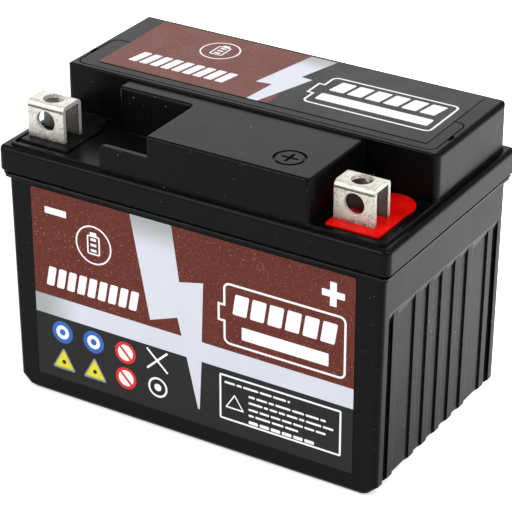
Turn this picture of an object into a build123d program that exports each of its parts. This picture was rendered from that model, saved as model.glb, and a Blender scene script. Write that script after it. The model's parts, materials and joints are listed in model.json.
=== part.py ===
from build123d import *
import os

# Sealed 12 V motorcycle battery, 114.8 x 69 x 85 mm.
# Frame: X along the length (negative terminal at -X), -Y is the label side, Z up,
# origin at the centre of the bottom face.

# ---------------------------------------------------------------- overall size
length = 114.8          # over the cover's rim
width = 69.0            # over the cover's rim
height = 85.0           # floor to the top label

# ---------------------------------------------------------------- container
base_l = 102.6          # flat the battery stands on
foot_z = 1.0            # top of the small slope at the floor
foot_l = 105.0
belt_z = 3.2            # end faces start here, above a 45 degree chamfer
belt_l = 109.8
body_top_z = 61.8       # end faces reach this, with a little draft
body_top_l = 111.2
body_w = 65.6
body_corner_r = 1.4
front_foot_chamfer = 0.9
lip_z = 62.6            # top of the bevel between body and lip
lip_l = 113.2
lip_w = 67.4
lip_flare_z = 63.1      # the lip widens from here up
lip_flare = 0.25
seam_z = 64.5           # container and cover are welded here
seam_gap_h = 0.85       # open line left above the lip
seam_gap_d = 0.5
cell_count = 6
wall_inner_l = 104.8
wall_inner_w = 61.6
partition_t = 1.4
floor_t = 3.5
cell_w = (wall_inner_l - (cell_count - 1) * partition_t) / cell_count
cell_pitch = cell_w + partition_t

# ribbed end faces: ribs are left standing between vertical recesses
band_bottom_z = 51.9    # plain band above this
recess_slope_h = 2.6    # sloped top end of each recess
recess_depth = 0.62
corner_recess_depth = 0.95
rib_w = 2.7
rib_pitch = 7.1
rib_step = 0.15         # ribs stand this much behind the band
outer_rib_y = 25.6
corner_column_y = 29.6

# ---------------------------------------------------------------- cover
rim_z = 71.5            # top of the rim and floor of the terminal pockets
rim_corner_r = 1.9
rim_fillet = 1.35
rim_chamfer = 0.3
kerb_l = 110.4          # low kerb round the upper cover
kerb_w = 65.6
kerb_t = 1.1
kerb_h = 0.7
label_t = 0.15
block_top_z = height - label_t
block_l = 110.4
block_corner_r = 1.8
block_edge_r = 0.5      # front and rear top edges
block_side_roll = 1.5   # top edges at the two ends
block_front_y = -6.1
block_rear_y = 31.9
nose_top_z = 84.1       # raised middle of the front
nose_left_x = -12.5
nose_right_x = 34.8
nose_front_y = -kerb_w / 2
step_left_x = -35.3     # shallow step left of the nose
step_front_y = -10.8
screen_left_x = -26.4   # low wall in front of the left pocket
screen_top_z = 78.4
screen_t = 1.3
cover_wall = 2.0
deck_underside_z = 68.0
polarity_x = 24.4
polarity_y = -24.6
polarity_r = 4.3
polarity_line = 0.75
polarity_depth = 0.5

# trough with the vent chimneys, closed by the cap strip
strip_l = 106.0
strip_front_y = -4.6
strip_rear_y = 13.5
strip_t = 1.8
strip_corner_r = 2.6
strip_gap = 0.2
strip_bottom_z = block_top_z - strip_t
strip_centre_y = (strip_front_y + strip_rear_y) / 2
strip_w = strip_rear_y - strip_front_y
ledge_t = 1.6
trough_floor_z = 76.0
under_trough_z = 74.0
notch_y = 4.1
notch_l = 2.8
notch_depth = 1.4
chimney_r = 3.5
chimney_bore_r = 2.2
chimney_top_z = 80.5
valve_r = 4.7
valve_bore_r = 3.6
valve_bottom_z = 77.3
valve_top_z = 82.0

# ---------------------------------------------------------------- terminals
plate_t = 1.2
terminal_w = 11.2
terminal_front_y = -26.3
terminal_d = 7.9
terminal_top_z = 82.2
terminal_hole_r = 2.85
terminal_bend_r = 1.5
positive_x = 43.3
negative_x = -47.6
post_x = 46.0
post_y = -12.5
post_r = 3.0
post_top_z = 71.3
seal_top_z = 72.1
well_floor_z = 68.7
tongue_z = 69.8
oring_r = 1.05
oring_seat_z = 66.5

# ---------------------------------------------------------------- plate groups
positive_t = 1.8
negative_t = 1.3
separator_t = 0.9
positives_per_cell = 3
plate_w = 58.6
plate_bottom_z = 4.3
plate_top_z = 54.0
lug_w = 7.0
strap_w = 8.4
strap_bottom_z = 57.0   # the lugs end here
strap_top_z = 60.0
strap_y = 12.5
nugget_r = 2.4
nugget_z = 58.5
separator_w = 60.8
separator_top_z = 55.6

# ---------------------------------------------------------------- labels
front_label_x0 = -48.5
front_label_x1 = 48.0
front_label_z0 = 5.7
front_label_z1 = 61.4
top_label_x0 = -48.0
top_label_x1 = 49.6
top_label_front_y = -1.6
top_label_rear_y = 30.2

os.makedirs("parts", exist_ok=True)


def cell_x(index):
    """X of the centre of a cell, counted from the negative end."""
    return (index - (cell_count - 1) / 2) * cell_pitch


def partition_x(index):
    """X of the middle of the partition between cell index and index + 1."""
    return cell_x(index) + cell_pitch / 2


def span_box(x0, x1, y0, y1, z0, z1, mode=Mode.ADD):
    """Box between two corners, joined to or cut from the open builder."""
    with Locations(((x0 + x1) / 2, (y0 + y1) / 2, (z0 + z1) / 2)):
        Box(x1 - x0, y1 - y0, z1 - z0, mode=mode)


def save(builder, name):
    """Label a finished piece and write its STEP file."""
    builder.part.label = name
    export_step(builder.part, f"parts/{name}.step")


# ================================================================ container
def end_face_x(z):
    """Half-length of the body at a height between belt and band."""
    return (belt_l + (body_top_l - belt_l) * (z - belt_z) / (body_top_z - belt_z)) / 2


def recess_profile(depth):
    """Outline, in X and Z, of what one end recess takes away at +X."""
    outside = length / 2
    slope = recess_slope_h / recess_depth
    slope_z = band_bottom_z - slope * depth
    return [
        (outside, band_bottom_z + (outside - end_face_x(band_bottom_z)) * slope),
        (end_face_x(band_bottom_z), band_bottom_z),
        (end_face_x(slope_z) - depth, slope_z),
        (belt_l / 2 - depth, belt_z),
        (foot_l / 2 - depth, foot_z),
        (foot_l / 2 - depth, -1.0),
        (outside, -1.0),
    ]


def end_recesses():
    """Each recess of the end faces as (low y, high y, depth); ribs are what stays between."""
    ribs = [-outer_rib_y, *[rib_pitch * n for n in range(-2, 3)], outer_rib_y]
    edge = outer_rib_y + rib_w / 2
    recesses = [(-corner_column_y, -edge, corner_recess_depth), (edge, corner_column_y, corner_recess_depth)]
    recesses += [(low + rib_w / 2, high - rib_w / 2, recess_depth) for low, high in zip(ribs, ribs[1:])]
    recesses += [(y - rib_w / 2, y + rib_w / 2, rib_step) for y in ribs]
    return recesses


body_sections = [
    (0, base_l, body_w - 2 * front_foot_chamfer),
    (foot_z, foot_l, body_w),
    (belt_z, belt_l, body_w),
    (body_top_z, body_top_l, body_w),
]

with BuildPart() as container:
    for low, high in zip(body_sections, body_sections[1:]):
        for z, section_l, section_w in (low, high):
            with BuildSketch(Plane.XY.offset(z)):
                RectangleRounded(section_l, section_w, body_corner_r)
        loft()
    for y0, y1, depth in end_recesses():
        with BuildSketch(Plane.XZ.offset(-y0)):
            with BuildLine():
                Polyline(*recess_profile(depth), close=True)
            make_face()
            mirror(about=Plane.YZ)
        extrude(amount=-(y1 - y0), mode=Mode.SUBTRACT)
    # bevel and lip under the weld seam
    with BuildSketch(Plane.XY.offset(body_top_z)):
        RectangleRounded(body_top_l, body_w, body_corner_r)
    with BuildSketch(Plane.XY.offset(lip_z)):
        RectangleRounded(lip_l, lip_w, body_corner_r)
    loft()
    with BuildSketch(Plane.XY.offset(lip_z)):
        RectangleRounded(lip_l, lip_w, body_corner_r)
    extrude(amount=lip_flare_z - lip_z)
    with BuildSketch(Plane.XY.offset(lip_flare_z)):
        RectangleRounded(lip_l, lip_w, body_corner_r)
    with BuildSketch(Plane.XY.offset(seam_z - seam_gap_h)):
        RectangleRounded(lip_l + 2 * lip_flare, lip_w + 2 * lip_flare, body_corner_r)
    loft()
    with BuildSketch(Plane.XY.offset(seam_z - seam_gap_h)):
        RectangleRounded(lip_l - 2 * seam_gap_d, lip_w - 2 * seam_gap_d, body_corner_r)
    extrude(amount=seam_gap_h)
    # six cells, open at the top until the cover is welded on
    for n in range(cell_count):
        span_box(cell_x(n) - cell_w / 2, cell_x(n) + cell_w / 2, -wall_inner_w / 2,
                 wall_inner_w / 2, floor_t, seam_z, mode=Mode.SUBTRACT)
    # a hole through each partition for the lead joint between two cells
    for n in range(cell_count - 1):
        side = 1 if n % 2 == 0 else -1
        with Locations(Location((partition_x(n), side * strap_y, nugget_z), (0, 90, 0))):
            Cylinder(nugget_r, partition_t + 1, mode=Mode.SUBTRACT)
save(container, "container")

# ================================================================ cover
with BuildPart() as rear_block:
    with BuildSketch(Plane.XY.offset(rim_z)):
        with Locations((0, (block_front_y + block_rear_y) / 2)):
            RectangleRounded(block_l, block_rear_y - block_front_y, block_corner_r)
    extrude(amount=block_top_z - rim_z)
    fillet(rear_block.faces().sort_by(Axis.Z)[-1].edges(), block_edge_r)
    with BuildSketch(Plane.XZ):
        with Locations((0, rim_z)):
            RectangleRounded(block_l, 2 * (block_top_z - rim_z), block_side_roll)
    extrude(amount=width, both=True, mode=Mode.INTERSECT)

with BuildPart() as nose:
    span_box(nose_left_x, nose_right_x, nose_front_y, block_front_y + 4, rim_z, nose_top_z)
    span_box(step_left_x, nose_left_x + 1, step_front_y, block_front_y + 4, rim_z, nose_top_z)
    corners = nose.edges().filter_by(Axis.Z).filter_by(lambda e: e.center().Y < block_front_y)
    fillet(corners, 1.2)
    top_front = nose.edges().group_by(Axis.Z)[-1].filter_by(lambda e: e.center().Y < block_front_y + 3)
    fillet(top_front, 0.8)

with BuildPart() as screen:
    span_box(screen_left_x, nose_left_x + 2, nose_front_y, nose_front_y + screen_t, rim_z, screen_top_z)
    top_corner = screen.edges().filter_by(Axis.Y).group_by(Axis.Z)[-1].sort_by(Axis.X)[0]
    fillet(top_corner, 1.4)


def seal_outline(x_side):
    """Well for a post seal: a plate under the terminal with a round end over the post."""
    centre = 1.2 + (positive_x if x_side > 0 else negative_x)
    front = terminal_front_y - 3.2
    with Locations((centre, (front + post_y) / 2)):
        RectangleRounded(14.8, post_y - front, 0.6)
    with Locations((x_side * post_x, post_y)):
        Circle(6.2)


with BuildPart() as cover:
    with BuildSketch(Plane.XY.offset(seam_z)):
        RectangleRounded(length, width, rim_corner_r)
    extrude(amount=rim_z - seam_z)
    fillet(cover.faces().sort_by(Axis.Z)[-1].edges(), rim_fillet)
    chamfer(cover.faces().sort_by(Axis.Z)[0].edges(), rim_chamfer)
    # kerb round the whole upper cover
    with BuildSketch(Plane.XY.offset(rim_z)):
        RectangleRounded(kerb_l, kerb_w, 2.2)
        RectangleRounded(kerb_l - 2 * kerb_t, kerb_w - 2 * kerb_t, 1.4, mode=Mode.SUBTRACT)
    extrude(amount=kerb_h)
    fillet(cover.faces().sort_by(Axis.Z)[-1].edges(), 0.25)
    add(rear_block.part)
    add(nose.part)
    add(screen.part)
    # polarity sign sunk into the nose
    with BuildSketch(Plane.XY.offset(nose_top_z)):
        with Locations((polarity_x, polarity_y)):
            Circle(polarity_r)
            Circle(polarity_r - polarity_line, mode=Mode.SUBTRACT)
            Rectangle(4.6, polarity_line)
            Rectangle(polarity_line, 4.6)
    extrude(amount=-polarity_depth, mode=Mode.SUBTRACT)
    # rebate for the cap strip, and the trough below it
    with BuildSketch(Plane.XY.offset(block_top_z)):
        with Locations((0, strip_centre_y)):
            RectangleRounded(strip_l + 2 * strip_gap, strip_w + 2 * strip_gap, strip_corner_r)
    extrude(amount=-strip_t, mode=Mode.SUBTRACT)
    with BuildSketch(Plane.XY.offset(strip_bottom_z)):
        with Locations((0, strip_centre_y)):
            RectangleRounded(strip_l - 2 * ledge_t, strip_w - 2 * ledge_t, strip_corner_r)
    extrude(amount=trough_floor_z - strip_bottom_z, mode=Mode.SUBTRACT)
    for side in (-1, 1):
        with Locations((side * strip_l / 2, notch_y, block_top_z)):
            Box(1.6, notch_l, 2 * notch_depth, mode=Mode.SUBTRACT)
    # hollow underside, one chamber over each cell
    for n in range(cell_count):
        x0 = cell_x(n) - cell_w / 2
        x1 = cell_x(n) + cell_w / 2
        end_cell = n in (0, cell_count - 1)
        low_front = block_front_y + 1 if end_cell else -wall_inner_w / 2
        span_box(x0, x1, low_front, wall_inner_w / 2, seam_z, deck_underside_z, mode=Mode.SUBTRACT)
        if end_cell:
            span_box(x0, x1, -wall_inner_w / 2, low_front, seam_z, seam_z + 1, mode=Mode.SUBTRACT)
        span_box(x0, x1, block_front_y + cover_wall, block_rear_y - cover_wall, deck_underside_z,
                 under_trough_z, mode=Mode.SUBTRACT)
        span_box(x0, x1, strip_rear_y + 2.2, block_rear_y - cover_wall, under_trough_z,
                 block_top_z - cover_wall, mode=Mode.SUBTRACT)
        nose_x0 = max(x0, nose_left_x + cover_wall)
        nose_x1 = min(x1, nose_right_x - cover_wall)
        if nose_x1 > nose_x0:
            span_box(nose_x0, nose_x1, nose_front_y + cover_wall, block_front_y - 0.4,
                     deck_underside_z, nose_top_z - cover_wall, mode=Mode.SUBTRACT)
    # vent chimneys
    for n in range(cell_count):
        with Locations((cell_x(n), strip_centre_y, (trough_floor_z + chimney_top_z) / 2)):
            Cylinder(chimney_r, chimney_top_z - trough_floor_z)
        with Locations((cell_x(n), strip_centre_y, (under_trough_z + chimney_top_z) / 2)):
            Cylinder(chimney_bore_r, chimney_top_z - under_trough_z, mode=Mode.SUBTRACT)
    # wells for the post seals, with an O-ring seat and a post hole below
    for side in (-1, 1):
        with BuildSketch(Plane.XY.offset(rim_z)):
            seal_outline(side)
        extrude(amount=well_floor_z - rim_z, mode=Mode.SUBTRACT)
        with Locations((side * post_x, post_y, (oring_seat_z + well_floor_z) / 2)):
            Cylinder(post_r + 2 * oring_r + 0.1, well_floor_z - oring_seat_z, mode=Mode.SUBTRACT)
        with Locations((side * post_x, post_y, oring_seat_z)):
            Cylinder(post_r + 0.2, 6, mode=Mode.SUBTRACT)
save(cover, "cover")

# ================================================================ cap strip and valves
with BuildPart() as cap_strip:
    with BuildSketch(Plane.XY.offset(strip_bottom_z)):
        with Locations((0, strip_centre_y)):
            RectangleRounded(strip_l, strip_w, strip_corner_r - strip_gap)
    extrude(amount=strip_t)
    fillet(cap_strip.faces().sort_by(Axis.Z)[-1].edges(), 0.3)
    # locating wall that drops into the trough
    with BuildSketch(Plane.XY.offset(strip_bottom_z)):
        with Locations((0, strip_centre_y)):
            RectangleRounded(strip_l - 2 * ledge_t - 0.6, strip_w - 2 * ledge_t - 0.6, strip_corner_r - 0.3)
            RectangleRounded(strip_l - 2 * ledge_t - 3, strip_w - 2 * ledge_t - 3, strip_corner_r - 1.5,
                             mode=Mode.SUBTRACT)
    extrude(amount=-2.4)
    # seats for the two porous discs
    with Locations(*[(side * (strip_l / 2 - 5.6), strip_centre_y, strip_bottom_z) for side in (-1, 1)]):
        Cylinder(1.7, 2.0, mode=Mode.SUBTRACT)
save(cap_strip, "cap_strip")

with BuildPart() as vent_filters:
    with Locations(*[(side * (strip_l / 2 - 5.6), strip_centre_y, strip_bottom_z + 0.5) for side in (-1, 1)]):
        Cylinder(1.7, 1.0)
save(vent_filters, "vent_filters")

for n in range(cell_count):
    with BuildPart() as valve:
        with BuildSketch(Plane.XZ.offset(-strip_centre_y)):
            with BuildLine():
                Polyline(
                    (cell_x(n), chimney_top_z),
                    (cell_x(n) + valve_bore_r, chimney_top_z),
                    (cell_x(n) + valve_bore_r, valve_bottom_z),
                    (cell_x(n) + valve_r, valve_bottom_z),
                    (cell_x(n) + valve_r, valve_top_z - 0.6),
                    (cell_x(n) + valve_r - 0.6, valve_top_z),
                    (cell_x(n), valve_top_z),
                    close=True,
                )
            make_face()
        revolve(axis=Axis((cell_x(n), strip_centre_y, 0), (0, 0, 1)))
    save(valve, f"valve_cap_{n + 1}")


# ================================================================ terminals, posts and seals
def terminal(x_centre, x_side):
    """Folded plate terminal: front leg, top and rear leg, with a tongue back to the post."""
    y_front = terminal_front_y + plate_t / 2
    y_rear = terminal_front_y + terminal_d - plate_t / 2
    z_top = terminal_top_z - plate_t / 2
    with BuildPart() as bent:
        with BuildSketch(Plane.YZ.offset(x_centre)):
            with BuildLine():
                FilletPolyline(
                    (y_front, tongue_z),
                    (y_front, z_top),
                    (y_rear, z_top),
                    (y_rear, tongue_z),
                    radius=terminal_bend_r - plate_t / 2,
                )
            trace(line_width=plate_t)
        extrude(amount=terminal_w / 2, both=True)
        with BuildSketch(Plane.XY.offset(tongue_z)):
            with Locations((x_centre, y_rear)):
                Rectangle(terminal_w, plate_t)
            with Locations((x_side * post_x, post_y)):
                Circle(5.0)
            make_hull()
        extrude(amount=plate_t)
        with Locations((x_side * post_x, post_y, tongue_z)):
            Cylinder(post_r + 0.05, 4 * plate_t, mode=Mode.SUBTRACT)
        # bolt holes in the front leg and in the top
        hole_z = (seal_top_z + terminal_top_z) / 2
        with Locations(Location((x_centre, y_front, hole_z), (90, 0, 0))):
            Cylinder(terminal_hole_r, 2 * plate_t, mode=Mode.SUBTRACT)
        with Locations((x_centre, terminal_front_y + terminal_d / 2, z_top)):
            Cylinder(terminal_hole_r, 2 * plate_t, mode=Mode.SUBTRACT)
    return bent


def post(x_side):
    """Lead post from the end cell's strap up through the cover."""
    with BuildPart() as pillar:
        with Locations((x_side * post_x, post_y, (strap_top_z + post_top_z) / 2)):
            Cylinder(post_r, post_top_z - strap_top_z)
    return pillar


def post_oring(x_side):
    """Rubber ring round the post, below the seal."""
    with BuildPart() as ring:
        with Locations((x_side * post_x, post_y, oring_seat_z + oring_r + 0.05)):
            Torus(post_r + oring_r + 0.05, oring_r)
    return ring


def post_seal(x_side, bent, pillar):
    """Cast resin that fills the well round the post and the terminal's legs."""
    with BuildPart() as resin:
        with BuildSketch(Plane.XY.offset(well_floor_z)):
            seal_outline(x_side)
        extrude(amount=seal_top_z - well_floor_z)
        fillet(resin.faces().sort_by(Axis.Z)[-1].edges(), 0.3)
        add(bent.part, mode=Mode.SUBTRACT)
        add(pillar.part, mode=Mode.SUBTRACT)
    return resin


for word, x_centre, x_side in (("positive", positive_x, 1), ("negative", negative_x, -1)):
    bent = terminal(x_centre, x_side)
    pillar = post(x_side)
    save(bent, f"{word}_terminal")
    save(pillar, f"{word}_post")
    save(post_oring(x_side), f"{word}_post_oring")
    save(post_seal(x_side, bent, pillar), f"{word}_post_seal")


# ================================================================ plates, separators and straps
def plate_side(kind, index):
    """Which side, -1 or 1 in Y, the lugs of one kind of plate are on in a cell."""
    side = -1 if index % 2 == 0 else 1
    return side if kind == "negative" else -side


def plate_stack(index):
    """Place each sheet of a cell along X: (kind, low x, high x)."""
    sheets = []
    x = cell_x(index) - stack_t / 2
    order = ["negative", "separator", "positive", "separator"] * positives_per_cell + ["negative"]
    for kind in order:
        sheets.append((kind, x, x + sheet_t[kind]))
        x += sheet_t[kind]
    return sheets


sheet_t = {"positive": positive_t, "negative": negative_t, "separator": separator_t}
stack_t = positives_per_cell * (positive_t + 2 * separator_t + negative_t) + negative_t

for n in range(cell_count):
    for kind in ("positive", "negative"):
        lug_y = plate_side(kind, n) * strap_y
        with BuildPart() as plates:
            for sheet, x0, x1 in plate_stack(n):
                if sheet == kind:
                    span_box(x0, x1, -plate_w / 2, plate_w / 2, plate_bottom_z, plate_top_z)
                    span_box(x0, x1, lug_y - lug_w / 2, lug_y + lug_w / 2, plate_top_z, strap_bottom_z)
        save(plates, f"{kind}_plates_{n + 1}")
        to_next = cell_x(n) + cell_w / 2 if n < cell_count - 1 else cell_x(n) + 6.0
        to_last = cell_x(n) - cell_w / 2 if n > 0 else cell_x(n) - 7.8
        x0, x1 = (cell_x(n) - 6.0, to_next) if kind == "positive" else (to_last, cell_x(n) + 7.8)
        with BuildPart() as strap:
            span_box(x0, x1, lug_y - strap_w / 2, lug_y + strap_w / 2, strap_bottom_z, strap_top_z)
            fillet(strap.faces().sort_by(Axis.Z)[-1].edges().filter_by(Axis.X), 0.8)
        save(strap, f"{kind}_strap_{n + 1}")
    with BuildPart() as separators:
        for sheet, x0, x1 in plate_stack(n):
            if sheet == "separator":
                span_box(x0, x1, -separator_w / 2, separator_w / 2, floor_t, separator_top_z)
    save(separators, f"separators_{n + 1}")

with BuildPart() as intercell_joints:
    for n in range(cell_count - 1):
        joint_y = plate_side("positive", n) * strap_y
        with Locations(Location((partition_x(n), joint_y, nugget_z), (0, 90, 0))):
            Cylinder(nugget_r - 0.05, partition_t)
save(intercell_joints, "intercell_joints")

# ================================================================ labels
with BuildPart() as front_label:
    with BuildSketch(Plane.XZ.offset(body_w / 2)):
        with Locations(((front_label_x0 + front_label_x1) / 2, (front_label_z0 + front_label_z1) / 2)):
            RectangleRounded(front_label_x1 - front_label_x0, front_label_z1 - front_label_z0, 1.0)
    extrude(amount=label_t)
save(front_label, "front_label")


def top_label(y0, y1):
    """One part of the top label, which is slit along the strip's rear edge."""
    with BuildPart() as sheet:
        with BuildSketch(Plane.XY.offset(block_top_z)):
            with Locations(((top_label_x0 + top_label_x1) / 2, (y0 + y1) / 2)):
                RectangleRounded(top_label_x1 - top_label_x0, y1 - y0, 0.6)
        extrude(amount=label_t)
    return sheet


save(top_label(top_label_front_y, strip_rear_y - 0.35), "top_label_strip")
save(top_label(strip_rear_y + strip_gap + 0.05, top_label_rear_y), "top_label_rear")
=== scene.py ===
import json
import math

import bmesh
import bpy
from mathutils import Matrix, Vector
from mathutils.geometry import delaunay_2d_cdt


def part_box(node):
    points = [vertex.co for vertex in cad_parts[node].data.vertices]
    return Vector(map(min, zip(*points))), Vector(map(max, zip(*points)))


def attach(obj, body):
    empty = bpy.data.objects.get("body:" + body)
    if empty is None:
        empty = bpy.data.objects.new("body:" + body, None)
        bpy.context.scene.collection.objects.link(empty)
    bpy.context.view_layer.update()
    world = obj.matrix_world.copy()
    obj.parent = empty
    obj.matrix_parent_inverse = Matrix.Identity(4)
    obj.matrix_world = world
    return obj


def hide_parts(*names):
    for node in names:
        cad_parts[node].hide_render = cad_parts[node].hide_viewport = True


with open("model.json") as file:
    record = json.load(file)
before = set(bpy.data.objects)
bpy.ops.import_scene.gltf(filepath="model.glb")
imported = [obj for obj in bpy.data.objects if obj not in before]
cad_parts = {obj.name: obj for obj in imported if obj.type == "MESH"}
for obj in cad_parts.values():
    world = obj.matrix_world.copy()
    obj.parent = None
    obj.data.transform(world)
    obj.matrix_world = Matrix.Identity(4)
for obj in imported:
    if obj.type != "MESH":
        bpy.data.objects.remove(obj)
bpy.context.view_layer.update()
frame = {"nodes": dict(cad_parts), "record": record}

MM = 0.001
nodes = frame["nodes"]

# Camera: 163 mm lens on a 36 mm sensor, aimed a little below the middle of the battery.
CAMERA_LENS = 163.0
CAMERA_AZIMUTH = 31.48
CAMERA_ELEVATION = 27.92
CAMERA_DISTANCE = 612.5 * MM
CAMERA_TARGET = Vector((-0.41, 0.23, 39.08)) * MM

# Labels, in millimetres. The film's outer face is the outer face of the CAD label.
FILM_CORNER = 0.4
SLIT_Y = 13.6            # the top label is cut here, along the rear edge of the strip
SLIT_HALF = 0.01         # half the width of that cut
FRAME_LINE = 0.62        # line of the two battery outlines
FRAME_CORNER = 1.9
EMBLEM_LINE = 0.45
BLOCK_CORNER = 0.45
INKS = ("charcoal", "brown", "foil", "white", "blue", "red", "yellow", "grey")

# Terminals: where the painted darkening of the folded plates changes, in millimetres from start to full
# strength: the dark reflection at the foot, the shade in the crease under the bend and the shade in the
# hollow inside.
PLATE_FOOT_Z = (73.9, 72.0)
FOLD_LOW_Z = (80.15, 80.4)
FOLD_HIGH_Z = (81.05, 80.8)
FRONT_FACE_Y = (-25.8, -26.0)
HOLLOW_FRONT_Y = (-25.25, -25.05)
HOLLOW_REAR_Y = (-19.45, -19.65)
HOLLOW_TOP_Z = (81.15, 80.95)


# ---------------------------------------------------------------- node materials
class Finish:
    """A node material being built. Each method adds nodes and returns a socket to link on."""

    def __init__(self, name):
        self.material = bpy.data.materials.new(name)
        self.material.use_nodes = True
        self.tree = self.material.node_tree
        self.shader = self.tree.nodes["Principled BSDF"]
        self.place = self.add("ShaderNodeTexCoord").outputs["Object"]

    def add(self, kind, **settings):
        """A new node with those settings."""
        node = self.tree.nodes.new(kind)
        for key, value in settings.items():
            setattr(node, key, value)
        return node

    def feed(self, socket, value):
        """Links value to the socket if it is a socket, and sets it there if it is a number or colour."""
        if isinstance(value, bpy.types.NodeSocket):
            self.tree.links.new(value, socket)
        elif isinstance(value, tuple) and socket.type == "RGBA":
            socket.default_value = (*value, 1.0)
        else:
            socket.default_value = value

    def math(self, operation, a, b=0.0, clamp=False):
        """One arithmetic step on two values."""
        node = self.add("ShaderNodeMath", operation=operation, use_clamp=clamp)
        self.feed(node.inputs[0], a)
        self.feed(node.inputs[1], b)
        return node.outputs[0]

    def stretched(self, stretch, offset=(0, 0, 0)):
        """Object coordinates in millimetres, scaled along each axis and shifted."""
        node = self.add("ShaderNodeMapping")
        self.feed(node.inputs["Vector"], self.place)
        node.inputs["Scale"].default_value = tuple(s / MM for s in stretch)
        node.inputs["Location"].default_value = offset
        return node.outputs[0]

    def noise(self, size, detail=3.0, stretch=(1, 1, 1), offset=(0, 0, 0), roughness=0.5):
        """Noise whose features are about size millimetres across."""
        node = self.add("ShaderNodeTexNoise")
        self.feed(node.inputs["Vector"], self.stretched(stretch, offset))
        node.inputs["Scale"].default_value = 1.0 / size
        node.inputs["Detail"].default_value = detail
        node.inputs["Roughness"].default_value = roughness
        return node.outputs["Fac"]

    def cells(self, size, output="Distance", offset=(0, 0, 0)):
        """Voronoi cells about size millimetres across."""
        node = self.add("ShaderNodeTexVoronoi")
        self.feed(node.inputs["Vector"], self.stretched((1, 1, 1), offset))
        node.inputs["Scale"].default_value = 1.0 / size
        return node.outputs[output]

    def band(self, value, low, high, out_low=0.0, out_high=1.0):
        """Maps low..high smoothly to out_low..out_high, and holds the ends."""
        node = self.add("ShaderNodeMapRange", interpolation_type="SMOOTHSTEP")
        self.feed(node.inputs["Value"], value)
        node.inputs["From Min"].default_value = low
        node.inputs["From Max"].default_value = high
        node.inputs["To Min"].default_value = out_low
        node.inputs["To Max"].default_value = out_high
        return node.outputs["Result"]

    def mix(self, amount, a, b):
        """The colour a where amount is 0 and b where it is 1."""
        node = self.add("ShaderNodeMix", data_type="RGBA")
        self.feed(node.inputs["Factor"], amount)
        self.feed(node.inputs[6], a)
        self.feed(node.inputs[7], b)
        return node.outputs[2]

    def axis(self, letter):
        """One object coordinate, in millimetres."""
        node = self.add("ShaderNodeSeparateXYZ")
        self.feed(node.inputs[0], self.stretched((1, 1, 1)))
        return node.outputs[letter]

    def specks(self, spacing, radius, share, offset=(0, 0, 0)):
        """Scattered round dots: 1 inside them, on about that share of the cells."""
        cell = self.cells(spacing, offset=offset)
        chosen = self.cells(spacing, output="Color", offset=offset)
        split = self.add("ShaderNodeSeparateColor")
        self.feed(split.inputs[0], chosen)
        near = self.band(cell, radius / spacing, 0.6 * radius / spacing)
        return self.math("MULTIPLY", near, self.math("LESS_THAN", split.outputs[0], share))

    def rounded(self, radius):
        """The surface's normal with its sharp edges rounded to radius millimetres."""
        node = self.add("ShaderNodeBevel", samples=6)
        node.inputs["Radius"].default_value = radius * MM
        return node.outputs[0]

    def edges(self, radius):
        """0 on flat faces, rising to 1 on edges that stand out or turn in."""
        flat = self.add("ShaderNodeNewGeometry").outputs["Normal"]
        dot = self.add("ShaderNodeVectorMath", operation="DOT_PRODUCT")
        self.feed(dot.inputs[0], self.rounded(radius))
        self.feed(dot.inputs[1], flat)
        return self.band(dot.outputs["Value"], 0.998, 0.93)

    def bump(self, height, depth, normal=None):
        """A bump of depth millimetres for height 0..1."""
        node = self.add("ShaderNodeBump")
        self.feed(node.inputs["Height"], height)
        node.inputs["Distance"].default_value = depth * MM
        if normal is not None:
            self.feed(node.inputs["Normal"], normal)
        return node.outputs[0]

    def finish(self, color, roughness, normal=None, **constants):
        """Links the shader's inputs, sets its constants and returns the material."""
        self.feed(self.shader.inputs["Base Color"], color)
        self.feed(self.shader.inputs["Roughness"], roughness)
        if normal is not None:
            self.feed(self.shader.inputs["Normal"], normal)
        for name, value in constants.items():
            self.feed(self.shader.inputs[name.replace("_", " ")], value)
        return self.material


def black_plastic(name, shift):
    """Moulded black plastic: faint grain, uneven gloss, dust, hairline scratches, and edges lightened in
    patches, part rubbed wear and part painted highlight.
    """
    f = Finish(name)
    cloud = f.noise(14, detail=4, offset=shift)
    grain = f.noise(0.35, detail=2, offset=shift)
    scratch_field = f.noise(0.16, detail=1, stretch=(0.035, 1, 1), offset=shift)
    scratches = f.band(scratch_field, 0.73, 0.78)
    dust = f.specks(3.4, 0.16, 0.26, shift)
    fine_dust = f.specks(1.1, 0.07, 0.16, shift)
    dirt = f.math("MAXIMUM", dust, fine_dust)
    wear_and_highlight_edges = f.math("MULTIPLY", f.edges(0.3), f.band(f.noise(2.2, offset=shift), 0.42, 0.68))

    color = f.mix(cloud, (0.0014, 0.0015, 0.0017), (0.003, 0.0031, 0.0034))
    # Edges lightened in patches: part rubbed wear, part painted highlight.
    color = f.mix(f.math("MULTIPLY", wear_and_highlight_edges, 0.5), color, (0.03, 0.031, 0.032))
    color = f.mix(f.math("MULTIPLY", scratches, 0.25), color, (0.03, 0.03, 0.032))
    color = f.mix(dirt, color, (0.42, 0.42, 0.41))
    roughness = f.band(cloud, 0.3, 0.7, 0.2, 0.27)
    roughness = f.math("ADD", roughness, f.math("MULTIPLY", grain, 0.06))
    roughness = f.math("ADD", roughness, f.math("MULTIPLY", dirt, 0.4), clamp=True)
    normal = f.bump(f.noise(26, detail=2, offset=shift), 0.05, f.rounded(0.22))
    normal = f.bump(grain, 0.0022, normal)
    normal = f.bump(scratches, -0.0015, normal)
    return f.finish(color, roughness, normal, Specular_IOR_Level=0.075)


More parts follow.
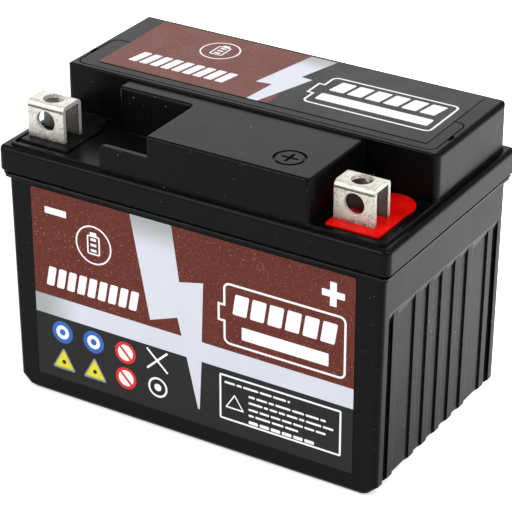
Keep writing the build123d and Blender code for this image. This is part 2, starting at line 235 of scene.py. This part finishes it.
def nickel_plate(name, pale, warm, shift):
    """Tin-nickel plated terminal: scuffed and speckled outside, with painted shade inside the fold and in the
    crease under the bend, a painted dark reflection at the foot, and edges lightened as part wear, part
    painted highlight.
    """
    f = Finish(name)
    brushed = f.noise(0.09, detail=2, stretch=(0.06, 1, 1), offset=shift)
    cloud = f.noise(3.2, detail=5, offset=shift, roughness=0.62)
    speckle = f.band(f.noise(0.5, detail=5, offset=shift, roughness=0.72), 0.51, 0.62)
    patch = f.band(f.noise(2.2, detail=3, offset=shift), 0.4, 0.56)
    y, z = f.axis("Y"), f.axis("Z")
    foot = f.band(z, *PLATE_FOOT_Z)
    # Painted dark reflection of the pocket floor, in patches near the foot; the same patches are also made
    # rougher.
    foot_patches = f.math("MULTIPLY", foot, f.band(f.noise(0.7, detail=4, offset=shift), 0.34, 0.52))
    # Where the painted shade of the crease under the bend lies: front plate only, broken into patches.
    fold = f.math("MULTIPLY", f.band(z, *FOLD_LOW_Z), f.band(z, *FOLD_HIGH_Z))
    fold = f.math("MULTIPLY", fold, f.band(y, *FRONT_FACE_Y))
    fold = f.math("MULTIPLY", fold, f.band(f.noise(0.7, detail=4, offset=shift), 0.26, 0.46))
    hollow_shade = f.math("MULTIPLY", f.band(y, *HOLLOW_FRONT_Y), f.band(y, *HOLLOW_REAR_Y))
    hollow_shade = f.math("MULTIPLY", hollow_shade, f.band(z, *HOLLOW_TOP_Z))
    wear_and_highlight_edges = f.edges(0.25)
    worn = f.math("MAXIMUM", patch, f.edges(1.1))

    color = f.mix(cloud, warm, pale)
    stains = f.math("MULTIPLY", speckle, worn)
    color = f.mix(f.math("MULTIPLY", stains, 0.7), color, (0.17, 0.135, 0.1))
    # Painted shade in the crease under the bend.
    color = f.mix(f.math("MULTIPLY", fold, 0.9), color, (0.045, 0.042, 0.05))
    # Painted dark reflection in patches at the foot.
    color = f.mix(f.math("MULTIPLY", foot_patches, 0.8), color, (0.04, 0.033, 0.022))
    # Every edge lightened towards white: part rubbed wear, part painted highlight.
    color = f.mix(f.math("MULTIPLY", wear_and_highlight_edges, 0.6), color, (0.93, 0.91, 0.88))
    # Painted shade inside the folded plate: the hollow is darkened to near black.
    color = f.mix(f.math("MULTIPLY", hollow_shade, 0.95), color, (0.012, 0.01, 0.008))
    roughness = f.band(cloud, 0.3, 0.7, 0.34, 0.46)
    dull = f.math("ADD", speckle, foot_patches)
    roughness = f.math("ADD", roughness, f.math("MULTIPLY", dull, 0.15), clamp=True)
    normal = f.bump(brushed, 0.005, f.rounded(0.22))
    normal = f.bump(speckle, -0.02, normal)
    normal = f.bump(fold, -0.12, normal)
    return f.finish(color, roughness, normal, Metallic=0.4)


def resin(name, deep, bright, shift):
    """Cast epoxy seal: glossy, a little wavy, deeper in colour where it is thick."""
    f = Finish(name)
    flow = f.noise(4.5, detail=3, offset=shift)
    streak = f.noise(1.2, detail=3, offset=shift)
    pits = f.specks(1.9, 0.12, 0.16, shift)
    color = f.mix(f.band(flow, 0.32, 0.68), deep, bright)
    color = f.mix(f.math("MULTIPLY", pits, 0.6), color, deep)
    roughness = f.band(streak, 0.3, 0.7, 0.16, 0.3)
    normal = f.bump(flow, 0.16, f.rounded(0.2))
    normal = f.bump(pits, -0.04, normal)
    return f.finish(color, roughness, normal, Specular_IOR_Level=0.05)


def cast_lead(name, shift):
    """Cast lead: dull blue-grey, granular, with whitish oxide in patches."""
    f = Finish(name)
    cloud = f.noise(2.4, detail=5, offset=shift, roughness=0.6)
    oxide = f.band(f.noise(1.1, detail=4, offset=shift), 0.55, 0.7)
    grain = f.cells(0.45, offset=shift)
    color = f.mix(cloud, (0.17, 0.18, 0.2), (0.33, 0.34, 0.36))
    color = f.mix(f.math("MULTIPLY", oxide, 0.5), color, (0.55, 0.56, 0.56))
    # Edges lightened: part worn fresh lead, part painted highlight.
    color = f.mix(f.math("MULTIPLY", f.edges(0.2), 0.6), color, (0.5, 0.51, 0.53))
    roughness = f.band(oxide, 0.0, 1.0, 0.42, 0.68)
    normal = f.bump(grain, 0.02, f.rounded(0.18))
    normal = f.bump(cloud, 0.06, normal)
    return f.finish(color, roughness, normal, Metallic=0.8)


def moulded_rubber(name, shift):
    """Black EPDM rubber: matt, powdery bloom, fine stipple."""
    f = Finish(name)
    bloom = f.noise(3.0, detail=4, offset=shift)
    stipple = f.cells(0.28, offset=shift)
    color = f.mix(bloom, (0.013, 0.013, 0.013), (0.04, 0.04, 0.039))
    # Edges lightened: part rubbed wear, part painted highlight.
    color = f.mix(f.math("MULTIPLY", f.edges(0.2), 0.4), color, (0.075, 0.075, 0.073))
    roughness = f.band(bloom, 0.3, 0.7, 0.55, 0.78)
    normal = f.bump(stipple, 0.012, f.rounded(0.15))
    return f.finish(color, roughness, normal, Specular_IOR_Level=0.3)


def plate_paste(name, dark, light, shift):
    """Pasted plate: porous paste with the lead grid's bars showing faintly through it."""
    f = Finish(name)
    pores = f.cells(0.22, offset=shift)
    cloud = f.noise(4.0, detail=5, offset=shift, roughness=0.65)
    bars = f.math("MAXIMUM", wires(f, "Y", 5.2, 0.45), wires(f, "Z", 4.0, 0.4))
    color = f.mix(cloud, dark, light)
    color = f.mix(f.math("MULTIPLY", bars, 0.55), color, (0.4, 0.41, 0.43))
    roughness = f.band(cloud, 0.3, 0.7, 0.66, 0.85)
    normal = f.bump(pores, 0.05, f.rounded(0.1))
    normal = f.bump(bars, 0.08, normal)
    return f.finish(color, roughness, normal, Specular_IOR_Level=0.3)


def wires(f, letter, pitch, width):
    """1 on the grid bars that cross one axis at that pitch, in millimetres."""
    wrapped = f.math("WRAP", f.axis(letter), pitch)
    return f.band(wrapped, width, width * 0.6)


def glass_mat(name, shift):
    """Absorbent glass mat: soft white fibres laid in all directions."""
    f = Finish(name)
    long_fibres = f.noise(0.14, detail=3, stretch=(1, 0.08, 1), offset=shift)
    cross_fibres = f.noise(0.14, detail=3, stretch=(1, 1, 0.08), offset=shift)
    tufts = f.noise(1.6, detail=4, offset=shift)
    fibres = f.math("MULTIPLY", f.math("ADD", long_fibres, cross_fibres), 0.5)
    color = f.mix(f.band(fibres, 0.35, 0.65), (0.62, 0.62, 0.59), (0.9, 0.9, 0.87))
    color = f.mix(f.math("MULTIPLY", f.band(tufts, 0.5, 0.75), 0.3), color, (0.55, 0.54, 0.5))
    normal = f.bump(fibres, 0.08)
    return f.finish(color, 0.92, normal, Sheen_Weight=0.25)


def porous_disc(name, shift):
    """Sintered vent filter: off-white grains fused together."""
    f = Finish(name)
    grains = f.cells(0.24, offset=shift)
    cloud = f.noise(1.4, detail=3, offset=shift)
    color = f.mix(f.band(grains, 0.1, 0.6), (0.82, 0.8, 0.75), (0.5, 0.48, 0.43))
    color = f.mix(f.math("MULTIPLY", cloud, 0.35), color, (0.62, 0.58, 0.5))
    normal = f.bump(grains, -0.05, f.rounded(0.1))
    return f.finish(color, 0.85, normal)


# ---------------------------------------------------------------- printed films
def film(name, color_low, color_high, shift, glitter=None):
    """Printed label film: slightly uneven ink, faint print lines, specks and a wavy lie."""
    f = Finish(name)
    cloud = f.noise(9, detail=4, offset=shift)
    lines = f.noise(0.3, detail=2, stretch=(1, 1, 0.05), offset=shift)
    color = f.mix(cloud, color_low, color_high)
    color = f.mix(f.band(lines, 0.5, 0.85, 0.0, 0.35), color, color_low)
    if glitter:
        patch = f.band(f.noise(16, detail=3, offset=shift), 0.38, 0.62)
        coarse = f.math("MULTIPLY", f.specks(0.85, 0.16, 0.6, shift), patch)
        fine = f.specks(0.5, 0.12, 0.5, shift)
        mottle = f.band(f.noise(0.6, detail=4, offset=shift, roughness=0.7), 0.4, 0.7)
        color = f.mix(f.math("MULTIPLY", mottle, 0.35), color, tuple(0.72 * c for c in color_low))
        color = f.mix(f.math("MULTIPLY", fine, 0.5), color, glitter)
        color = f.mix(f.math("MULTIPLY", coarse, 0.9), color, glitter)
    scuffs = f.band(f.noise(0.14, detail=1, stretch=(0.04, 1, 0.6), offset=shift), 0.72, 0.78)
    roughness = f.band(cloud, 0.3, 0.7, 0.3, 0.4)
    roughness = f.math("ADD", roughness, f.math("MULTIPLY", scuffs, 0.2), clamp=True)
    normal = f.bump(f.noise(7, detail=2, offset=shift), 0.035)
    normal = f.bump(f.noise(0.2, detail=2, offset=shift), 0.0012, normal)
    return f.finish(color, roughness, normal, Specular_IOR_Level=0.1)


def foil(name, fade_axis, fade_from, fade_to, shift):
    """The silvery white of the bolt and the band: it greys towards the film's edge."""
    f = Finish(name)
    cloud = f.noise(11, detail=3, offset=shift)
    fade = f.band(f.axis(fade_axis), fade_from, fade_to)
    if fade_axis == "Z":
        left = f.band(f.axis("X"), -33.0, -47.0)
        low = f.band(f.axis("Z"), 34.0, 31.0)
        fade = f.math("MAXIMUM", fade, f.math("MULTIPLY", left, low))
    color = f.mix(cloud, (0.51, 0.53, 0.6), (0.565, 0.585, 0.65))
    color = f.mix(f.math("MULTIPLY", fade, 0.75), color, (0.22, 0.24, 0.21))
    roughness = f.band(cloud, 0.3, 0.7, 0.28, 0.36)
    normal = f.bump(f.noise(8, detail=2, offset=shift), 0.03)
    return f.finish(color, roughness, normal, Metallic=0.2, Specular_IOR_Level=0.2)


def label_inks(prefix, foil_fade):
    """The materials of one label's inks, in the order of INKS."""
    top = prefix == "top"
    shift = (21.3, 6.1, 2.2) if top else (3.7, 1.9, 8.4)
    # The front label's brown is darker than the top label's, though it is the same film: painted shade on the
    # front face.
    brown_low = (0.118, 0.021, 0.012) if top else (0.084, 0.016, 0.01)
    brown_high = (0.158, 0.031, 0.019) if top else (0.13, 0.028, 0.018)
    return [
        film(prefix + "_charcoal_film", (0.011, 0.011, 0.012), (0.019, 0.019, 0.02), shift),
        film(prefix + "_brown_film", brown_low, brown_high, shift, glitter=(0.5, 0.27, 0.19)),
        foil(prefix + "_foil", *foil_fade, shift),
        film(prefix + "_white_ink", (0.72, 0.72, 0.75), (0.82, 0.82, 0.85), shift),
        film(prefix + "_blue_ink", (0.025, 0.1, 0.34), (0.035, 0.13, 0.42), shift),
        film(prefix + "_red_ink", (0.52, 0.02, 0.02), (0.62, 0.03, 0.025), shift),
        film(prefix + "_yellow_ink", (0.55, 0.5, 0.02), (0.68, 0.62, 0.03), shift),
        film(prefix + "_grey_ink", (0.2, 0.2, 0.19), (0.27, 0.27, 0.26), shift),
    ]


# ---------------------------------------------------------------- label artwork
# Shapes are lists of points in millimetres on the label's own plane.
def rect(x0, y0, x1, y1, corner=0.0, lean=0.0):
    """A rectangle, with round corners if asked. It leans over to the right by lean."""
    if corner == 0.0:
        points = [(x0, y0), (x1, y0), (x1, y1), (x0, y1)]
    else:
        points = []
        centres = [(x1 - corner, y0 + corner, -90), (x1 - corner, y1 - corner, 0),
                   (x0 + corner, y1 - corner, 90), (x0 + corner, y0 + corner, 180)]
        for cx, cy, start in centres:
            points += arc(cx, cy, corner, start, start + 90, 5)
    return [(x + lean * (y - y0) / (y1 - y0), y) for x, y in points]


def arc(cx, cy, radius, start, end, steps):
    """Points along a circle, from start to end in degrees."""
    angles = [math.radians(start + (end - start) * i / steps) for i in range(steps + 1)]
    return [(cx + radius * math.cos(a), cy + radius * math.sin(a)) for a in angles]


def disc(cx, cy, radius):
    """A circle of 36 points."""
    return arc(cx, cy, radius, 0, 350, 35)


def triangle(cx, base_y, width, height, corner):
    """An upright triangle with round corners."""
    tips = [(cx - width / 2, base_y), (cx + width / 2, base_y), (cx, base_y + height)]
    slope = math.degrees(math.atan2(height, width / 2))
    half = [slope / 2, slope / 2, 90 - slope]
    bisector = [half[0], 180 - half[1], -90]
    points = []
    for (x, y), h, b in zip(tips, half, bisector):
        reach = corner / math.sin(math.radians(h))
        px = x + reach * math.cos(math.radians(b))
        py = y + reach * math.sin(math.radians(b))
        swing = 90 - h
        points += arc(px, py, corner, b + 180 - swing, b + 180 + swing, 4)
    return points


def bar_cross(cx, cy, half_x, half_y, thick):
    """A plus sign."""
    t = thick / 2
    return [(cx - t, cy - half_y), (cx + t, cy - half_y), (cx + t, cy - t), (cx + half_x, cy - t),
            (cx + half_x, cy + t), (cx + t, cy + t), (cx + t, cy + half_y), (cx - t, cy + half_y),
            (cx - t, cy + t), (cx - half_x, cy + t), (cx - half_x, cy - t), (cx - t, cy - t)]


def stroke(x0, y0, x1, y1, thick):
    """A straight line of that thickness."""
    length = math.hypot(x1 - x0, y1 - y0)
    nx, ny = -(y1 - y0) / length * thick / 2, (x1 - x0) / length * thick / 2
    return [(x0 - nx, y0 - ny), (x1 - nx, y1 - ny), (x1 + nx, y1 + ny), (x0 + nx, y0 + ny)]


def white_frame(x0, y0, x1, y1, corner, line, background):
    """A white rectangle, and over it the same one shrunk by line in the background's ink."""
    inner = max(corner - line, 0.05)
    return [("white", rect(x0, y0, x1, y1, corner)),
            (background, rect(x0 + line, y0 + line, x1 - line, y1 - line, inner))]


def battery_frame(x0, y0, x1, y1, nub, nub_half, background):
    """The plain outline of a battery lying on its side, with its nub at the left."""
    middle = (y0 + y1) / 2
    low, high = middle - nub_half, middle + nub_half
    line, nub_end = FRAME_LINE, x0 + 2 * FRAME_LINE
    shapes = [("white", rect(x0 - nub, low, nub_end, high))]
    shapes += white_frame(x0, y0, x1, y1, FRAME_CORNER, line, background)
    shapes.append((background, rect(x0 - nub + line, low + line, nub_end, high - line)))
    return shapes


def charge_blocks(count, x0, y0, x1, y1, gap, lean):
    """A row of equal leaning blocks, as on a charge gauge."""
    width = (x1 - x0 - lean - gap * (count - 1)) / count
    starts = [x0 + i * (width + gap) for i in range(count)]
    return [("white", rect(x, y0, x + width, y1, BLOCK_CORNER, lean)) for x in starts]


def emblem(cx, cy, radius, background):
    """A plain ring around a small upright battery with three bars of charge."""
    body_x, body_y = radius * 0.36, radius * 0.5
    bar_x, bar_y = body_x * 0.45, 0.38
    nub_x, nub_rise = body_x / 2, 0.9
    shapes = [("white", disc(cx, cy, radius)), (background, disc(cx, cy, radius - EMBLEM_LINE))]
    shapes.append(("white", rect(cx - nub_x, cy, cx + nub_x, cy + body_y + nub_rise, 0.2)))
    shapes += white_frame(cx - body_x, cy - body_y, cx + body_x, cy + body_y, 0.6, EMBLEM_LINE, background)
    for step in (-0.56, 0.0, 0.56):
        y = cy + step * body_y
        shapes.append(("white", rect(cx - bar_x, y - bar_y, cx + bar_x, y + bar_y, 0.15)))
    return shapes


def dash_line(x0, x1, y, height, seed):
    """A broken line of plain dashes of uneven length, from 1.2 mm up."""
    gap, shortest_end = 0.5, 0.6
    shapes, x, step = [], x0, seed
    while x < x1 - shortest_end:
        step = (step * 7 + 3) % 11
        end = min(x + 1.2 + 0.32 * step, x1)
        shapes.append(("white", rect(x, y - height / 2, end, y + height / 2, height * 0.3)))
        x = end + gap
    return shapes


def target(cx, cy, ink, background, outer, inner, middle):
    """A disc of ink with a ring of background in it."""
    return [(ink, disc(cx, cy, outer)), (background, disc(cx, cy, inner)), (ink, disc(cx, cy, middle))]


def front_art(x0, z0, x1, z1):
    """The front label from bottom to top ink, as (ink, outline) pairs on the X-Z plane."""
    brown_z, band_z = z0 + 24.7, z0 + 18.9
    art = [("charcoal", rect(x0, z0, x1, z1, FILM_CORNER)),
           ("brown", rect(x0, brown_z, x1, z1 + 1)),
           ("foil", rect(x0, band_z, x1, brown_z))]
    art.append(("foil", [(-17.6, z1), (-12.0, 32.3), (-3.6, 35.4), (-2.4, brown_z), (-1.0, band_z),
                         (2.35, 10.1), (2.85, 10.1), (3.6, band_z), (3.7, brown_z),
                         (4.35, 47.6), (-2.85, 45.9), (-5.0, z1)]))
    art.append(("white", rect(-44.25, 54.75, -37.45, 56.65, 0.15)))
    art.append(("white", bar_cross(41.85, 55.25, 3.2, 3.35, 1.85)))
    art += emblem(-29.1, 49.2, 5.6, "brown")
    art += charge_blocks(9, -44.7, 33.5, -15.2, 39.2, 0.85, 1.1)
    art += battery_frame(10.3, 32.2, 45.7, 49.9, 1.7, 2.6, "brown")
    art += charge_blocks(6, 13.0, 41.3, 43.3, 47.2, 1.0, 0.9)
    art.append(("white", rect(15.7, 34.65, 40.8, 38.3, 0.2)))

    for cx in (-40.2, -30.2):
        art += target(cx, 20.15, "blue", "white", 3.3, 2.05, 0.95)
        art.append(("grey", triangle(cx + 0.1, 8.75, 7.6, 6.8, 0.4)))
        art.append(("yellow", triangle(cx + 0.1, 9.35, 6.0, 5.3, 0.3)))
        art.append(("charcoal", disc(cx + 0.1, 11.1, 0.62)))
    for cz in (20.0, 12.3):
        art += [("red", disc(-20.1, cz, 3.25)), ("white", disc(-20.1, cz, 2.35))]
        art.append(("red", stroke(-21.8, cz + 1.75, -18.4, cz - 1.75, 0.7)))
    art.append(("white", stroke(-13.3, 23.7, -6.9, 17.7, 0.6)))
    art.append(("white", stroke(-13.3, 17.7, -6.9, 23.7, 0.6)))
    art += target(-10.1, 12.6, "white", "charcoal", 3.0, 2.4, 1.1)

    art += white_frame(8.95, 9.7, 44.75, 23.1, 0.5, 0.55, "charcoal")
    art.append(("white", triangle(13.5, 13.4, 5.8, 4.5, 0.2)))
    art.append(("charcoal", triangle(13.5, 13.85, 4.4, 3.4, 0.1)))
    rows = [(10.5, 29.9, 20.85), (17.7, 40.3, 18.6), (17.7, 42.5, 16.75),
            (17.7, 41.2, 14.8), (17.7, 33.0, 13.05)]
    for number, (start, end, z) in enumerate(rows):
        art += dash_line(start, end, z, 0.62, number + 2)
    art += dash_line(17.7, 37.8, 11.0, 0.95, 5)
    return art


def top_art(x0, y0, x1, y1):
    """The top label as (ink, outline) pairs on the X-Y plane."""
    art = [("charcoal", rect(x0, y0, x1, y1, FILM_CORNER)),
           ("brown", [(x0, y0), (3.4, y0), (4.2, 2.2), (1.5, 9.0), (-1.4, y1), (x0, y1)])]
    art.append(("foil", [(-1.4, y1), (-5.6, 8.6), (-1.1, 9.3), (-2.2, y0), (1.0, y0),
                         (6.5, 16.9), (3.1, 17.2), (6.4, y1)]))
    art += emblem(-24.2, 20.9, 5.6, "brown")
    art += charge_blocks(9, -42.0, 3.3, -11.6, 9.9, 0.85, 1.1)
    art += battery_frame(10.4, 4.3, 47.3, 21.8, 1.6, 3.3, "charcoal")
    art += charge_blocks(6, 13.2, 13.6, 44.6, 19.7, 1.0, 0.9)
    art.append(("white", rect(12.7, 7.2, 45.0, 11.3, 0.6)))
    return art


def ink_at(art, point):
    """The topmost ink at a point."""
    for ink, shape in reversed(art):
        if inside(shape, point):
            return ink
    return art[0][0]


def inside(shape, point):
    """Even-odd test of a point against a closed outline."""
    x, y = point
    found = False
    for (ax, ay), (bx, by) in zip(shape, shape[1:] + shape[:1]):
        if (ay > y) != (by > y) and x < ax + (y - ay) * (bx - ax) / (by - ay):
            found = not found
    return found


def printed_film(name, art, cut, thickness, to_world, inks):
    """One closed sheet of film whose outer face is divided along the artwork's outlines.

    cut is the outline of the sheet; to_world places a point of the label plane at a depth below its face.
    """
    points, edges = [], []
    for _, shape in art + [("", cut)]:
        start = len(points)
        points += [Vector(p) for p in shape]
        edges += [(start + i, start + (i + 1) % len(shape)) for i in range(len(shape))]
    flat, _, faces, *_ = delaunay_2d_cdt(points, edges, [], 0, 1e-5)

    mesh = bmesh.new()
    face_verts = [mesh.verts.new(to_world(p.x, p.y, 0.0)) for p in flat]
    back_verts = [mesh.verts.new(to_world(p.x, p.y, thickness)) for p in flat]
    for corners in faces:
        middle = sum((flat[i] for i in corners), Vector((0, 0))) / 3
        if not inside(cut, middle):
            continue
        top = mesh.faces.new([face_verts[i] for i in corners])
        top.material_index = INKS.index(ink_at(art, middle))
        mesh.faces.new([back_verts[i] for i in reversed(corners)])
    opposite = dict(zip(face_verts, back_verts))
    rim = [e for e in mesh.edges if e.is_boundary and all(v in opposite for v in e.verts)]
    for edge in rim:
        loop = edge.link_loops[0]
        a, b = loop.vert, loop.link_loop_next.vert
        wall = mesh.faces.new([b, a, opposite[a], opposite[b]])
        wall.material_index = edge.link_faces[0].material_index
    bmesh.ops.delete(mesh, geom=[v for v in mesh.verts if not v.link_faces], context="VERTS")
    bmesh.ops.recalc_face_normals(mesh, faces=mesh.faces)
    data = bpy.data.meshes.new(name)
    mesh.to_mesh(data)
    mesh.free()
    for ink in inks:
        data.materials.append(ink)
    piece = bpy.data.objects.new(name, data)
    bpy.context.scene.collection.objects.link(piece)
    return piece


def make_front_label():
    """The printed film on the front face."""
    low, high = (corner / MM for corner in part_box("front_label"))
    art = front_art(low.x, low.z, high.x, high.z)
    inks = label_inks("front", ("Z", 52.0, 61.0))
    cut = rect(low.x, low.z, high.x, high.z, FILM_CORNER)

    def place(x, z, depth):
        return Vector((x, low.y + depth, z)) * MM

    piece = printed_film("front_label_film", art, cut, high.y - low.y, place, inks)
    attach(piece, "battery")
    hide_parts("front_label")


def make_top_label():
    """The printed film on top, in two halves: one rides the strip and one stays on the cover."""
    strip_low, strip_high = (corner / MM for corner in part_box("top_label_strip"))
    rear_low, rear_high = (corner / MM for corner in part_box("top_label_rear"))
    art = top_art(strip_low.x, strip_low.y, rear_high.x, rear_high.y)
    inks = label_inks("top", ("Y", 22.0, 29.5))
    thickness = rear_high.z - rear_low.z
    halves = (("top_label_strip", "strip", strip_low.y, SLIT_Y - SLIT_HALF),
              ("top_label_rear", "battery", SLIT_Y + SLIT_HALF, rear_high.y))

    def place(x, y, depth):
        return Vector((x, y, rear_high.z - depth)) * MM

    for node, body, y0, y1 in halves:
        cut = rect(strip_low.x, y0, strip_high.x, y1)
        piece = printed_film(node + "_film", art, cut, thickness, place, inks)
        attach(piece, body)
        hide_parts(node)


# ---------------------------------------------------------------- CAD nodes' finishes
def dress(node, material):
    """Gives a CAD node its finish."""
    slots = nodes[node].data.materials
    slots.clear()
    slots.append(material)


def dress_cad_nodes():
    """Gives every CAD node that stays visible the finish of its material."""
    dress("container", black_plastic("container_plastic", (0, 0, 0)))
    dress("cover", black_plastic("cover_plastic", (31, 7, 3)))
    dress("cap_strip", black_plastic("strip_plastic", (5, 43, 17)))
    dress("positive_terminal",
          nickel_plate("positive_plating", (0.74, 0.72, 0.65), (0.56, 0.53, 0.45), (2, 9, 4)))
    dress("negative_terminal",
          nickel_plate("negative_plating", (0.74, 0.72, 0.67), (0.61, 0.59, 0.52), (63, 11, 8)))
    dress("positive_post_seal", resin("red_seal", (0.6, 0.003, 0.0015), (0.78, 0.005, 0.002), (4, 4, 4)))
    dress("negative_post_seal", resin("black_seal", (0.003, 0.003, 0.0035), (0.008, 0.008, 0.009), (9, 4, 6)))
    dress("vent_filters", porous_disc("filter_disc", (1, 2, 3)))
    lead = cast_lead("cast_lead", (7, 3, 5))
    rubber = moulded_rubber("rubber", (2, 8, 1))
    positive = plate_paste("positive_paste", (0.055, 0.026, 0.016), (0.12, 0.062, 0.042), (3, 5, 9))
    negative = plate_paste("negative_paste", (0.13, 0.135, 0.145), (0.24, 0.25, 0.26), (8, 2, 7))
    mat = glass_mat("glass_mat", (6, 6, 2))
    shared = {"lead": lead, "rubber": rubber, "positive_plate": positive,
              "negative_plate": negative, "glass_mat": mat}
    for part in frame["record"]["subparts"]:
        if part["material_slot"] in shared:
            dress(part["node"], shared[part["material_slot"]])


# ---------------------------------------------------------------- studio
def make_camera():
    """The camera at the photograph's angle."""
    azimuth, elevation = math.radians(CAMERA_AZIMUTH), math.radians(CAMERA_ELEVATION)
    back = Vector((math.sin(azimuth) * math.cos(elevation),
                   -math.cos(azimuth) * math.cos(elevation), math.sin(elevation)))
    camera = bpy.data.objects.new("camera", bpy.data.cameras.new("camera"))
    camera.data.lens = CAMERA_LENS
    camera.data.sensor_width = 36.0
    camera.data.clip_start = 0.01
    camera.location = CAMERA_TARGET + back * CAMERA_DISTANCE
    camera.rotation_euler = back.to_track_quat("Z", "Y").to_euler()
    bpy.context.scene.collection.objects.link(camera)
    bpy.context.scene.camera = camera


def softbox(name, location, aim, width, height, power):
    """A white rectangular lamp, in metres and watts, that faces the point aim."""
    lamp = bpy.data.lights.new(name, "AREA")
    lamp.shape = "RECTANGLE"
    lamp.size, lamp.size_y = width, height
    lamp.energy = power
    box = bpy.data.objects.new(name, lamp)
    box.location = location
    box.rotation_euler = (Vector(location) - Vector(aim)).to_track_quat("Z", "Y").to_euler()
    bpy.context.scene.collection.objects.link(box)


def make_studio():
    """A white light table that glows more behind and to the right, under three softboxes and a small lamp."""
    middle = (0.0, 0.0, 0.04)
    softbox("front_softbox", (-0.55, -0.95, 0.75), middle, 0.7, 0.7, 9.0)
    softbox("rear_softbox", (-0.62, 1.0, 0.66), middle, 1.1, 0.8, 4.0)
    softbox("right_softbox", (1.0, 0.25, 0.9), middle, 0.8, 0.8, 6.0)
    softbox("overhead_lamp", (0.6, -0.25, 1.1), middle, 0.12, 0.12, 3.0)

    world = bpy.data.worlds.new("studio")
    bpy.context.scene.world = world
    world.use_nodes = True
    world.node_tree.nodes["Background"].inputs["Color"].default_value = (1.0, 1.0, 1.0, 1.0)
    world.node_tree.nodes["Background"].inputs["Strength"].default_value = 0.55

    half = 4.0
    corners = [(-half, -half, 0), (half, -half, 0), (half, half, 0), (-half, half, 0)]
    data = bpy.data.meshes.new("floor")
    data.from_pydata(corners, [], [(0, 1, 2, 3)])
    floor = bpy.data.objects.new("floor", data)
    bpy.context.scene.collection.objects.link(floor)
    data.materials.append(light_table())


def light_table():
    """A pale matt floor that glows from 0.45 in front and left to 1.8 behind and right."""
    f = Finish("light_table")
    x, y = f.axis("X"), f.axis("Y")
    behind = f.math("ADD", f.math("MULTIPLY", x, 0.52), f.math("MULTIPLY", y, 0.85))
    glow = f.band(behind, -20.0, 120.0, 0.45, 1.8)
    f.shader.inputs["Emission Color"].default_value = (1.0, 1.0, 1.0, 1.0)
    f.feed(f.shader.inputs["Emission Strength"], glow)
    return f.finish((0.8, 0.8, 0.8), 0.9, Specular_IOR_Level=0.1)


scene = bpy.context.scene
scene.view_settings.view_transform = "Standard"
scene.view_settings.look = "None"
scene.view_settings.exposure = 0.0
make_camera()
make_studio()
dress_cad_nodes()
make_front_label()
make_top_label()
